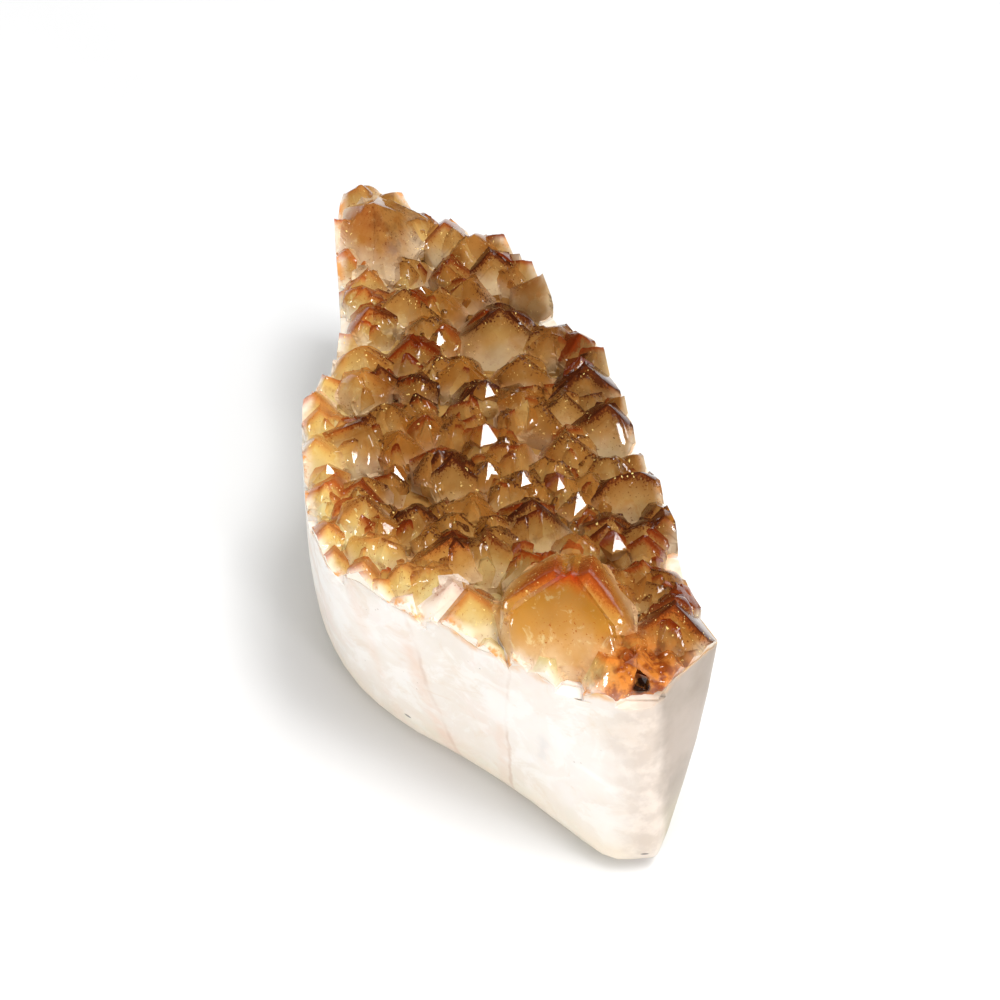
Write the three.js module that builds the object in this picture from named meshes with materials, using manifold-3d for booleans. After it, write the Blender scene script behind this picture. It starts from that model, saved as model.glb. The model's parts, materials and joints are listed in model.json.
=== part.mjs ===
// A citrine cluster: a slab of milky quartz with ground sides and a flat foot, whose top is one crust
// of grown-together quartz points. Millimetres, +Z up, the foot on z = 0, the length along X, and the
// origin under the middle of the bounding box.
import * as THREE from "three";
import { ConvexGeometry } from "three/addons/geometries/ConvexGeometry.js";
import { mergeVertices } from "three/addons/utils/BufferGeometryUtils.js";
import Module from "manifold-3d";

const wasm = await Module();
wasm.setup();

// ---- driving dimensions ----
const RIM_Z = 46; // where the ground side meets the crust
const SLAB_TOP = 44; // the lowest that the crust can reach
const ENVELOPE_TOP = 80; // above the highest tip
const BLOCK = 400; // the uncut slab, larger than the plan
const SLIVER = 0.01; // shorter edges than this are merged away
const FOOT_RADIUS = 6; // rounding between the foot and the side
const SIDE_BULGE = 0.9; // how far the ground side swells at mid height
const SIDE_STEPS = 80; // facets round the ground side
const SIDE_LEVELS = [15, 25, 36]; // heights of the rings between the rounding and the rim
const FILLET_STEPS = 4;

// Quartz: the pyramid faces lean 38.2 degrees from the axis, so their normals stand at 51.8.
const FACE_TILT = THREE.MathUtils.degToRad(51.8);
const TIP_Z = 52; // tip height of a point as wide as USUAL_WIDTH
const USUAL_WIDTH = 10;
const TIP_GAIN = 0.25; // tip height gained per millimetre of extra width
const ROOT_Z = 34; // the points' roots, inside the slab
const MINOR_SET_BACK = [0.045, 0.175]; // every second pyramid face is smaller: its set-back over the width
const WIDTH_SCATTER = [-0.13, 0.13]; // how uneven the six prism faces are
const LEAN_SCATTER = [-7, 7]; // degrees
const DEFAULT_SEED = 20;

// Filler points, smaller and lower, close the ground between the placed ones.
const FILLER_PITCH = 6.6;
const FILLER_WIDTH = [6, 8.6];
const FILLER_JITTER = [-0.8, 0.8];
const FILLER_DROP = [1.2, 3.2];
const RIM_FILLER_PITCH = 5.2; // a row of small points just inside the rim
const RIM_FILLER_INSET = 2;
const FILLER_CLEAR = 0.52; // no filler nearer to a placed point than this share of its width

// The plan of the ground side, anticlockwise from the near corner: [rim x, rim y, foot x, foot y].
// The foot's plan is the one that the side would have without the rounding.
const OUTLINE = [
  [70, 2.5, 75.6, 0.5], [69.6, 4.5, 76.4, 3], [67.8, 11, 74.8, 4.8], [65.8, 17, 72, 7],
  [64, 18.3, 67.5, 10], [54, 18.7, 58, 17], [46, 21.3, 46, 20], [36, 23.6, 36, 22], [32, 24.6, 32, 23],
  [24, 26, 24, 24], [10, 29, 10, 27], [-2, 31, -2, 28], [-11, 28.5, -12, 26], [-26, 29.5, -25, 26],
  [-38, 26.5, -37, 23], [-50, 19.5, -48, 18], [-60, 15, -56, 15], [-66.5, 10.5, -61, 11],
  [-61, 3, -57, 6], [-50, -2, -50, 1], [-38, -6.5, -42, -3.5], [-25, -12, -32, -9],
  [-17, -20, -22, -16], [-9.5, -25.8, -14, -22.5], [0.5, -29.5, -4, -28], [10, -32.8, 8, -30],
  [22, -34, 20, -29], [33, -28.5, 31, -25], [44, -21.5, 42, -18.5], [55, -14.5, 54, -12.5],
  [64, -7.5, 63, -9], [69, -0.5, 73, -4.5],
];

// The placed points: [x, y, width, lift, turn, ridge length, ridge direction]. Width is across the
// prism's flats, lift is added to the height that the width gives, turn is the direction that the
// first large pyramid face looks in, and a ridge draws the tip out to a chisel edge. Degrees.
const POINTS = [
  // the far end
  [-61, 7.5, 11, -1.6, -60], [-54, 8, 14, 0, -20], [-52, -0.5, 12], [-53, 11.8, 9, -0.4, 117, 8, 27],
  [-47, 9, 10, -1],
  [-42.5, 18, 11], [-36.5, 21.5, 13, 0, -30], [-31, 22.5, 10, 0.5], [-35, 26.5, 8], [-26, 25, 7],
  [-27, 27, 7], [-21, 28, 10], [-44, 5.5, 12, 0, -26], [-37, 8, 11, -1], [-38, 0, 9, -1],
  [-45, -2, 9, -1], [-46, 13, 9], [-33, 15, 9], [-27, 9, 10, -1], [-27, 16, 9, -1],
  // behind the middle
  [-14, 16.5, 16, 0, -26, 3, 64], [-19.5, 5.5, 11, 0, -40], [-28, 3, 10, 0, -26, 2.5, 64],
  [-33.5, -2.5, 7], [-27.5, -4.5, 9], [-18.5, -10.5, 12, 0, -60], [-16, -1, 10, 0, -26, 1, 64],
  [-10.5, 2, 8], [-7, 5, 9, 0, -26, 2, 64], [-3, 15, 10, 0, -26, 1.5, 64], [-7.5, 23.5, 10],
  [-4, 28, 10], [0, 29, 8],
  // the left of the middle
  [-12.5, -12, 10, 0, -20], [-13, -8.5, 6], [-7, -3, 8], [-3.5, -12, 9, 0, -26, 2, 64],
  [-0.5, -17.5, 13, 0.5, -50], [-12, -22, 9], [-8, -22.5, 8], [-1, -26.5, 11, 0, -20], [1, -6.5, 8],
  [4, -12.5, 8], [4.5, -1.5, 6], [5.5, 1, 6], [2, 1.5, 9], [9, -27, 9], [11.5, -23, 11],
  [16, -24.5, 13, 0, -26, 1.5, 64], [10, -8, 10], [14, -6.5, 11, 0, -26, 1, 40],
  [20.5, -17.5, 9], [23, -7, 10, 0, -50], [25.5, -11.5, 9], [28, -6, 8],
  // the right of the middle
  [0, 5, 11, 0.5, -10], [5, 11, 11, 0.5], [3.5, 14, 7], [5.5, 24, 13, 0, -26, 2.5, 64],
  [10.5, 22.5, 9], [15.5, 23.5, 12, 0.5, -26, 1.5, 64], [13, 27, 7], [25, 20, 5],
  [31, 18.7, 10, 0.2, -14, 7, 76], [27, 14, 8], [38, 21, 6], [41.5, 20.5, 8, 0, -26, 1.5, 75],
  [41.5, 16, 10], [37.5, 12, 8, 0.5], [39, 5.5, 8], [22, 9.5, 9], [26, 9.5, 9, 0, -70],
  [16, 4.5, 10, 0.5, -60], [16, -0.5, 8, 0, -10], [11, 1, 8], [8.5, 13.5, 9], [9, 18, 12, 0, -26],
  [17, 14, 11, 0, -26], [29, 1.5, 12, 0, -26, 1.5, 64], [23, 4.5, 9], [22.5, -1, 9], [7.5, 8, 6],
  // the near side
  [23.5, -26.5, 8], [25, -24, 7], [27, -29, 6], [17, -31.5, 7], [29, -31.5, 5], [26, -16, 8],
  [30, -14, 14, 0, -30], [34, -19.5, 10], [38.5, -18, 12], [41.5, -16.5, 13, 0, -15],
  [48.5, -21.5, 6], [30.5, -23.5, 6], [20.5, -23.5, 8], [32.5, -8.5, 11, 0, -26, 1.5, 20],
  // the near end, with the largest point
  [39, -3.5, 9, 0.5], [40.5, 0, 9], [50.5, -2.5, 25, 4.7, -36], [50, 5.5, 9], [48.5, 11.5, 9],
  [47.5, 8, 7], [53.5, 12.5, 8], [55.5, 15, 7], [51.5, 15, 8], [60, 12.5, 12, 0, -30, 3.5, 26],
  [63, -2, 9], [64.5, 3, 9, 0, -26, 2, 40],
  [66.5, 8, 7, -1], [58, -10, 7, -1.5],
];

// The long middle line of the plan: what is outward or inward is measured from it.
const SPINE = new THREE.Line3(new THREE.Vector3(-48, 9, 0), new THREE.Vector3(56, 6, 0));

// A small iron-stained pit in the crust at the near rim: centre, half sizes and direction.
const PIT = { at: [67.2, 2.2, 47.2], half: [3.1, 1.4, 3.2], turn: 14 };

// ---- helpers ----
function seeded(seed) {
  let state = seed >>> 0;
  return () => {
    state = (state + 0x6d2b79f5) >>> 0;
    let t = Math.imul(state ^ (state >>> 15), 1 | state);
    t = (t + Math.imul(t ^ (t >>> 7), 61 | t)) ^ t;
    return ((t ^ (t >>> 14)) >>> 0) / 4294967296;
  };
}

const degrees = THREE.MathUtils.degToRad;
const lerp = THREE.MathUtils.lerp;
const between = (random, [low, high]) => low + (high - low) * random();

// A closed three.js geometry as a manifold solid, and back.
function solidOf(geometry) {
  const bare = geometry.clone();
  bare.deleteAttribute("normal");
  bare.deleteAttribute("uv");
  const merged = mergeVertices(bare, 1e-4);
  return new wasm.Manifold(
    new wasm.Mesh({
      numProp: 3,
      vertProperties: new Float32Array(merged.attributes.position.array),
      triVerts: new Uint32Array(merged.index.array),
    }),
  );
}

function geometryOf(solid) {
  const { vertProperties, triVerts } = solid.getMesh();
  const geometry = new THREE.BufferGeometry();
  geometry.setAttribute("position", new THREE.BufferAttribute(new Float32Array(vertProperties), 3));
  geometry.setIndex(new THREE.BufferAttribute(new Uint32Array(triVerts), 1));
  return geometry;
}

// The corners of the convex body inside a set of planes { normal, reach } (normal . p <= reach).
function cornersInside(planes) {
  const corners = [];
  const cross = new THREE.Vector3();
  for (let i = 0; i < planes.length; i++)
    for (let j = i + 1; j < planes.length; j++)
      for (let k = j + 1; k < planes.length; k++) {
        const [a, b, c] = [planes[i], planes[j], planes[k]];
        const det = a.normal.dot(cross.crossVectors(b.normal, c.normal));
        if (Math.abs(det) < 1e-6) continue;
        const corner = new THREE.Vector3()
          .addScaledVector(new THREE.Vector3().crossVectors(b.normal, c.normal), a.reach)
          .addScaledVector(new THREE.Vector3().crossVectors(c.normal, a.normal), b.reach)
          .addScaledVector(new THREE.Vector3().crossVectors(a.normal, b.normal), c.reach)
          .divideScalar(det);
        const inside = planes.every((p) => p.normal.dot(corner) <= p.reach + 1e-5);
        const known = corners.some((q) => q.distanceTo(corner) < 1e-3);
        if (inside && !known) corners.push(corner);
      }
  return corners;
}

// One quartz point: six prism faces and six pyramid faces, large and small in turn, round an axis
// through the tip, as a convex solid.
function quartzPoint({ x, y, width, tipZ, turn, ridge, ridgeTurn, lean, random }) {
  const along = new THREE.Vector3(Math.cos(ridgeTurn), Math.sin(ridgeTurn), 0);
  const planes = [];
  for (let k = 0; k < 6; k++) {
    const angle = turn + (k * Math.PI) / 3;
    const out = new THREE.Vector3(Math.cos(angle), Math.sin(angle), 0);
    const stretch = (ridge / 2) * Math.abs(out.dot(along));
    const uneven = 1 + between(random, WIDTH_SCATTER);
    planes.push({ normal: out, reach: (width / 2) * uneven + stretch });
    const setBack = k % 2 ? width * between(random, MINOR_SET_BACK) : 0;
    const normal = out.clone().multiplyScalar(Math.sin(FACE_TILT)).setZ(Math.cos(FACE_TILT));
    planes.push({ normal, reach: setBack + stretch * Math.sin(FACE_TILT) });
  }
  planes.push({ normal: new THREE.Vector3(0, 0, -1), reach: tipZ - ROOT_Z });
  const geometry = new ConvexGeometry(cornersInside(planes));
  const tilt = new THREE.Quaternion().setFromEuler(new THREE.Euler(-lean.y, lean.x, 0));
  geometry.applyQuaternion(tilt);
  geometry.translate(x, y, tipZ);
  return solidOf(geometry);
}

// ---- the slab's ground side ----
// Swells outwards at mid height and turns under at the foot: { z, share of the way to the rim, offset }.
function sideProfile() {
  const levels = [];
  for (let i = 0; i <= FILLET_STEPS; i++) {
    const angle = (i / FILLET_STEPS) * (Math.PI / 2);
    levels.push({ z: FOOT_RADIUS * (1 - Math.cos(angle)), inset: FOOT_RADIUS * (1 - Math.sin(angle)) });
  }
  for (const z of [...SIDE_LEVELS, RIM_Z, ENVELOPE_TOP]) levels.push({ z, inset: 0 });
  return levels.map(({ z, inset }) => {
    const share = Math.min(z / RIM_Z, 1);
    return { z, share, offset: SIDE_BULGE * Math.sin(Math.PI * share) - inset };
  });
}

function ringAt({ z, share, offset }) {
  const corners = OUTLINE.map(
    ([rimX, rimY, footX, footY]) =>
      new THREE.Vector3(lerp(footX, rimX, share), lerp(footY, rimY, share), z),
  );
  const curve = new THREE.CatmullRomCurve3(corners, true, "centripetal");
  const ring = [];
  for (let i = 0; i < SIDE_STEPS; i++) {
    const point = curve.getPoint(i / SIDE_STEPS);
    const inner = SPINE.closestPointToPoint(point, true, new THREE.Vector3()).setZ(z);
    const outward = point.clone().sub(inner).normalize();
    ring.push(point.addScaledVector(outward, offset));
  }
  return ring;
}

function capOf(ring) {
  const flat = ring.map((p) => new THREE.Vector2(p.x, p.y));
  return THREE.ShapeUtils.triangulateShape(flat, []);
}

// A closed skin over rings of equal length, the first at the bottom.
function loft(rings) {
  const size = rings[0].length;
  const positions = rings.flat().flatMap((p) => [p.x, p.y, p.z]);
  const index = [];
  for (let level = 0; level + 1 < rings.length; level++)
    for (let i = 0; i < size; i++) {
      const next = (i + 1) % size;
      const [a, b] = [level * size + i, level * size + next];
      const [c, d] = [a + size, b + size];
      index.push(a, b, d, a, d, c);
    }
  const last = (rings.length - 1) * size;
  for (const [a, b, c] of capOf(rings[0])) index.push(c, b, a);
  for (const [a, b, c] of capOf(rings.at(-1))) index.push(last + a, last + b, last + c);
  const geometry = new THREE.BufferGeometry();
  geometry.setAttribute("position", new THREE.Float32BufferAttribute(positions, 3));
  geometry.setIndex(index);
  return geometry;
}

// ---- the crust of points ----
function placedPoints() {
  const random = seeded(DEFAULT_SEED);
  return POINTS.map(([x, y, width, lift = 0, turn = 360 * random(), ridge = 0, ridgeTurn = 0]) => ({
    x,
    y,
    width,
    tipZ: TIP_Z + TIP_GAIN * (width - USUAL_WIDTH) + lift,
    turn: degrees(turn),
    ridge,
    ridgeTurn: degrees(ridgeTurn),
  }));
}

// Smaller points at every site of a jittered grid, and along the rim, that no placed point covers.
function fillerSites(rim, random) {
  const shape = new THREE.Box2().setFromPoints(rim.map((p) => new THREE.Vector2(p.x, p.y)));
  const rowPitch = (FILLER_PITCH * Math.sqrt(3)) / 2;
  const sites = [];
  for (let row = 0; shape.min.y + row * rowPitch < shape.max.y; row++)
    for (let x = shape.min.x + (row % 2) * (FILLER_PITCH / 2); x < shape.max.x; x += FILLER_PITCH) {
      const y = shape.min.y + row * rowPitch;
      sites.push({ x: x + between(random, FILLER_JITTER), y: y + between(random, FILLER_JITTER) });
    }
  const edge = new THREE.CatmullRomCurve3(rim, true);
  const count = Math.round(edge.getLength() / RIM_FILLER_PITCH);
  for (const p of edge.getSpacedPoints(count).slice(0, count)) {
    const inner = SPINE.closestPointToPoint(p, true, new THREE.Vector3()).setZ(p.z);
    sites.push(p.clone().add(inner.sub(p).setLength(RIM_FILLER_INSET)));
  }
  return sites;
}

function fillerPoints(placed, rim) {
  const random = seeded(DEFAULT_SEED + 1);
  const fillers = [];
  for (const { x, y } of fillerSites(rim, random)) {
    const width = between(random, FILLER_WIDTH);
    const tipZ = TIP_Z + TIP_GAIN * (width - USUAL_WIDTH) - between(random, FILLER_DROP);
    const near = (p) => Math.hypot(p.x - x, p.y - y) < FILLER_CLEAR * p.width;
    const crowded = [...placed, ...fillers].some(near);
    if (!crowded && insidePlan({ x, y }, rim))
      fillers.push({ x, y, width, tipZ, turn: 2 * Math.PI * random(), ridge: 0, ridgeTurn: 0 });
  }
  return fillers;
}

function insidePlan({ x, y }, rim) {
  let inside = false;
  for (let i = 0, j = rim.length - 1; i < rim.length; j = i++) {
    const [a, b] = [rim[i], rim[j]];
    if (a.y > y !== b.y > y && x < ((b.x - a.x) * (y - a.y)) / (b.y - a.y) + a.x) inside = !inside;
  }
  return inside;
}

function crust(rim) {
  const random = seeded(DEFAULT_SEED + 2);
  const placed = placedPoints();
  const leaning = () => degrees(between(random, LEAN_SCATTER));
  const solids = [...placed, ...fillerPoints(placed, rim)].map((site) =>
    quartzPoint({ ...site, lean: { x: leaning(), y: leaning() }, random }),
  );
  return wasm.Manifold.union(solids);
}

// An elongated eight-sided pit.
function pit() {
  const geometry = new THREE.OctahedronGeometry(1, 0);
  geometry.scale(...PIT.half);
  geometry.rotateZ(degrees(PIT.turn));
  geometry.translate(...PIT.at);
  return solidOf(geometry);
}

// ---- the cluster ----
// The outer skin alone: leaning points can close off a small empty pocket between them.
function withoutPockets(solid) {
  const skins = solid.decompose().sort((a, b) => b.volume() - a.volume());
  return skins[0];
}

function cluster() {
  const rings = sideProfile().map(ringAt);
  const envelope = solidOf(loft(rings));
  const slab = new THREE.BoxGeometry(BLOCK, BLOCK, SLAB_TOP);
  slab.translate(0, 0, SLAB_TOP / 2);
  const rim = ringAt({ z: RIM_Z, share: 1, offset: 0 });
  const grown = solidOf(slab).add(crust(rim)).subtract(pit());
  return withoutPockets(grown.intersect(envelope).simplify(SLIVER));
}

const geometry = geometryOf(cluster());
geometry.computeBoundingBox();
const middle = geometry.boundingBox.getCenter(new THREE.Vector3());
geometry.translate(-middle.x, -middle.y, 0);

const citrine = new THREE.MeshStandardMaterial({ color: 0xc98a3c, roughness: 0.15, metalness: 0 });
const mesh = new THREE.Mesh(geometry, citrine);
mesh.name = "citrine_cluster";

const group = new THREE.Group();
group.add(mesh);

export default group;
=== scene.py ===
"""Looks of the citrine cluster: amber quartz points over a milky quartz slab, in metres, +Z up.

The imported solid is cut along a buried, bumpy surface into two pieces that replace it: the
see-through crust of points, and the cloudy slab under it. Both keep the solid's outer faces.
"""

import itertools
import json
import math
import random
from types import SimpleNamespace

import bmesh
import bpy
import numpy as np
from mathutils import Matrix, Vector, noise
from mathutils.bvhtree import BVHTree

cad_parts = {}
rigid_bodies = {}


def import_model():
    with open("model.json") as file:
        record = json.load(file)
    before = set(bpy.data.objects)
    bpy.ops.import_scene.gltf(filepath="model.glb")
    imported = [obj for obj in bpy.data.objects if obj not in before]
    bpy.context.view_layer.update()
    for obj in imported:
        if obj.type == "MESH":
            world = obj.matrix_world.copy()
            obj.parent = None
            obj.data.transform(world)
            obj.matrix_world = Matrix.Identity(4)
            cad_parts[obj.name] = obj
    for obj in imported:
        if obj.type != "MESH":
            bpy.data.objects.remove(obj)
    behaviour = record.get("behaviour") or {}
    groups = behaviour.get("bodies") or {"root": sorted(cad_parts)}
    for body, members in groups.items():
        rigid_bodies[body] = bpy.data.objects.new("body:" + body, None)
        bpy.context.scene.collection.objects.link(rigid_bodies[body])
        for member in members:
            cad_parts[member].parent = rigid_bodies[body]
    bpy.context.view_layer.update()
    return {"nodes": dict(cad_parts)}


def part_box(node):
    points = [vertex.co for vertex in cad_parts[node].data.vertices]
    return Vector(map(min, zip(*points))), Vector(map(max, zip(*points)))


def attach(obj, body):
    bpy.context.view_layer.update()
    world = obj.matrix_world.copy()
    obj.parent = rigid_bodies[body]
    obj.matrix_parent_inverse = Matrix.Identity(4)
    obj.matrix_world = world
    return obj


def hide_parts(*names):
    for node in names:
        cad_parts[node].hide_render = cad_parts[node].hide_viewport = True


MM = 0.001
NODE = "citrine_cluster"
DOWN = Vector((0, 0, -1))

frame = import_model()

# ---- camera ----
CAMERA_PLACE = (64, 50, 370 * MM)  # azimuth, elevation and distance
CAMERA_LENS = 70  # mm on a 36 mm sensor
CAMERA_AIM = Vector((0.2, 8.6, 24)) * MM
NEAREST_SEEN = 10 * MM


def direction(azimuth, elevation):
    """From the object towards a place at this azimuth and elevation, in degrees."""
    azimuth, elevation = math.radians(azimuth), math.radians(elevation)
    flat = math.cos(elevation)
    return Vector((math.sin(azimuth) * flat, -math.cos(azimuth) * flat, math.sin(elevation)))


def new_object(name, data):
    obj = bpy.data.objects.new(name, data)
    bpy.context.scene.collection.objects.link(obj)
    return obj


def aimed(name, data, azimuth, elevation, distance):
    """A new camera or lamp that looks at the cluster from this side."""
    obj = new_object(name, data)
    back = direction(azimuth, elevation)
    obj.location = CAMERA_AIM + back * distance
    obj.rotation_euler = back.to_track_quat("Z", "Y").to_euler()
    return obj


camera = aimed("camera", bpy.data.cameras.new("camera"), *CAMERA_PLACE)
camera.data.lens = CAMERA_LENS
camera.data.clip_start = NEAREST_SEEN
bpy.context.scene.camera = camera

# ---- which point each face belongs to ----
SIDE_ANGLE, FLAT_ANGLE = math.radians(12), math.radians(0.6)  # the most within one side or flat
SIDE_SEED_HEIGHT = 40 * MM
LEAST_FLAT = 0.02 * MM * MM
IRON_SIDE = Vector((-0.9, 0.44, 0))
IRON_FACING = 0.1
FAR_RIDGE = 8 * MM


class Groups:
    """Union-find."""

    def __init__(self, count):
        self.parent = list(range(count))

    def root(self, i):
        while self.parent[i] != i:
            self.parent[i] = self.parent[self.parent[i]]
            i = self.parent[i]
        return i

    def join(self, i, j):
        self.parent[self.root(i)] = self.root(j)


def side_faces(bm):
    """Indices of the ground side's faces: found from the low ones, across blunt edges."""
    side = {f.index for f in bm.faces if min(v.co.z for v in f.verts) < SIDE_SEED_HEIGHT}
    front = list(side)
    while front:
        for edge in bm.faces[front.pop()].edges:
            if len(edge.link_faces) != 2 or edge.calc_face_angle() > SIDE_ANGLE:
                continue
            for f in edge.link_faces:
                if f.index not in side:
                    side.add(f.index)
                    front.append(f.index)
    return side


def find_points(bm):
    """Numbers every face with its flat and its point (-1 on the ground side), and gives each
    point's tip, planes of the larger flats, and height. A convex point's faces meet at ridges, two
    points in a valley."""
    side = side_faces(bm)
    flats, points = Groups(len(bm.faces)), Groups(len(bm.faces))
    for edge in bm.edges:
        if len(edge.link_faces) != 2:
            continue
        a, b = (f.index for f in edge.link_faces)
        if a in side or b in side:
            continue
        angle = edge.calc_face_angle_signed()
        if abs(angle) < FLAT_ANGLE:
            flats.join(a, b)
        if angle > -FLAT_ANGLE:
            points.join(a, b)
    point_layer = bm.faces.layers.int.new("point")
    flat_layer = bm.faces.layers.int.new("flat")
    tips, planes, feet = {}, {}, {}
    for f in bm.faces:
        if f.index in side:
            f[point_layer] = f[flat_layer] = -1
            continue
        point = f[point_layer] = points.root(f.index)
        flat = f[flat_layer] = flats.root(f.index)
        top = max(f.verts, key=lambda v: v.co.z).co.copy()
        if point not in tips or top.z > tips[point].z:
            tips[point] = top
        feet[point] = min([feet.get(point, top.z), *(v.co.z for v in f.verts)])
        area = f.calc_area()
        known = planes.setdefault(point, {}).get(flat)
        if known is None or area > known[2]:
            planes[point][flat] = (f.normal.copy(), f.normal.dot(f.verts[0].co), area)
    for point, known in planes.items():
        planes[point] = {flat: plane[:2] for flat, plane in known.items() if plane[2] > LEAST_FLAT}
    return tips, planes, {point: tips[point].z - feet[point] for point in tips}


def ridge_distance(planes, point, flat, place):
    """How far a place on one flat of a point is under the point's nearest other plane."""
    nearest = FAR_RIDGE
    for other, (normal, reach) in planes[point].items():
        if other != flat:
            nearest = min(nearest, reach - normal.dot(place))
    return max(0.0, nearest)


def crest_distance(planes, point, place):
    """How far a place is under the point's nearest plane that faces the side iron settled on."""
    nearest = FAR_RIDGE
    for normal, reach in planes[point].values():
        if normal.dot(IRON_SIDE) > IRON_FACING:
            nearest = min(nearest, reach - normal.dot(place))
    return max(0.0, nearest)


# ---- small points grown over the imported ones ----
FACE_TILT = math.radians(51.8)
SEED = 7
SET_BACK, HALF_WIDTH, POINT_ROOT = (0.0, 0.09), (0.42, 0.55), 0.9  # shares of a point's width
LEAST_DETERMINANT = 1e-3
CORNER_SLACK, CORNER_DIGITS = 1e-7, 7
UPWARD = 1.2  # how strongly small points turn up
SIBLINGS = (2, 3, 4)
SIBLING_WIDTH = (0.65, 1.15)  # of the span of the point they sit on
SIBLING_REACH = (0.14, 0.32)
SIBLING_LIFT = (0.3 * MM, 0.8 * MM)
SIBLING_BEND, SIBLING_TURN = 0.06, 0.1
BELOW_TIP = 0.15 * MM
LEAST_SPAN, MOST_SPAN = 4.5 * MM, 13 * MM
SPROUTS = 70  # small points in the valleys
SPROUT_WIDTH = (3.0 * MM, 5.0 * MM)
SPROUT_LIFT = (0.5 * MM, 1.4 * MM)
SPROUT_BEND = 0.25
VALLEY_RING, RING_PLACES = 1.6 * MM, 8
VALLEY_DEPTH = 0.45 * MM  # from the ring's mean height down to a valley
RIM_CLEAR = 0.9 * MM
APART = 0.8  # of two points' widths together, in one batch
ATTEMPTS = 5
NUDGE = Vector((0.011, 0.007, 0.013))  # in mm
CROWN = ((-1.55, -2.15, -0.2), (1.1, 2.8, -0.3))  # from the tallest point's tip to its twins', in mm
CROWN_ROOT, CROWN_HALF = 13 * MM, 8.5 * MM
# a broad smooth point at the far end: its tip in mm, then azimuth, elevation and reach in mm of its
# planes
BROAD_TIP = (-55.4, 8.3, 56.4)
BROAD_PLANES = (
    (84, 64, 0), (20, 50, 0), (142, 52, 0.3), (205, 48, 0), (270, 50, 0), (325, 46, 0.4),
    (-24, 0, 7.2), (35, 0, 12.0), (84, 0, 16.0), (135, 0, 11.0), (204, 0, 8.5), (270, 0, 8.5), (0, -90, 11.0),
)
BROAD_CLEAR = 9.5 * MM
FLASH_LAMP = (98, 22, 0.9)  # azimuth, elevation and distance of the lamp that they mirror
FLASH_LIFT = 2.4 * MM
CRISP_REACH = 0.9 * MM
FLASHES = (  # across the cluster in mm: x, y and width of small points that flash
    (-3.6, 7.6, 5.0), (6.0, 2.9, 5.0), (12.6, 0.0, 6.0), (25.0, 11.4, 6.6), (17.6, 4.4, 4.0),
    (20.8, 9.6, 4.4), (0.2, -24.8, 6.6), (3.4, -13.6, 4.6), (-21.0, 6.4, 5.0), (35.4, 13.0, 5.4),
    (30.8, -2.0, 4.0), (-1.6, 25.4, 5.6), (-34.0, 8.4, 4.6), (-46.4, 2.4, 4.6), (8.8, 5.4, 4.0),
    (41.6, 8.4, 4.2),
)


def add_convex(bm, tip, normals, reaches):
    """Adds the convex form that lies behind all the planes, reaches being measured from the tip."""
    normals, reaches = np.array([tuple(n) for n in normals]), np.array(reaches)
    triples = np.array(list(itertools.combinations(range(len(normals)), 3)))
    systems = normals[triples]
    solvable = abs(np.linalg.det(systems)) > LEAST_DETERMINANT
    corners = np.linalg.solve(systems[solvable], reaches[triples][solvable][..., None])[..., 0]
    inside = (corners @ normals.T <= reaches + CORNER_SLACK).all(axis=1)
    corners = np.unique(corners[inside].round(CORNER_DIGITS), axis=0)
    verts = [bm.verts.new(Vector(c) + tip) for c in corners]
    bmesh.ops.convex_hull(bm, input=verts)


def add_quartz_point(bm, chance, tip, axis, turn, width):
    """Adds a six-sided prism with a six-sided point, its planes slightly out of place."""
    frame_x = axis.orthogonal().normalized()
    frame_y = axis.cross(frame_x)
    normals, reaches = [-axis], [width * POINT_ROOT]
    for side in range(6):
        angle = turn + side * math.pi / 3
        outward = frame_x * math.cos(angle) + frame_y * math.sin(angle)
        normals.append(outward * math.sin(FACE_TILT) + axis * math.cos(FACE_TILT))
        reaches.append(width * chance.uniform(*SET_BACK))
        normals.append(outward)
        reaches.append(width * chance.uniform(*HALF_WIDTH))
    add_convex(bm, tip, normals, reaches)


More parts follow.
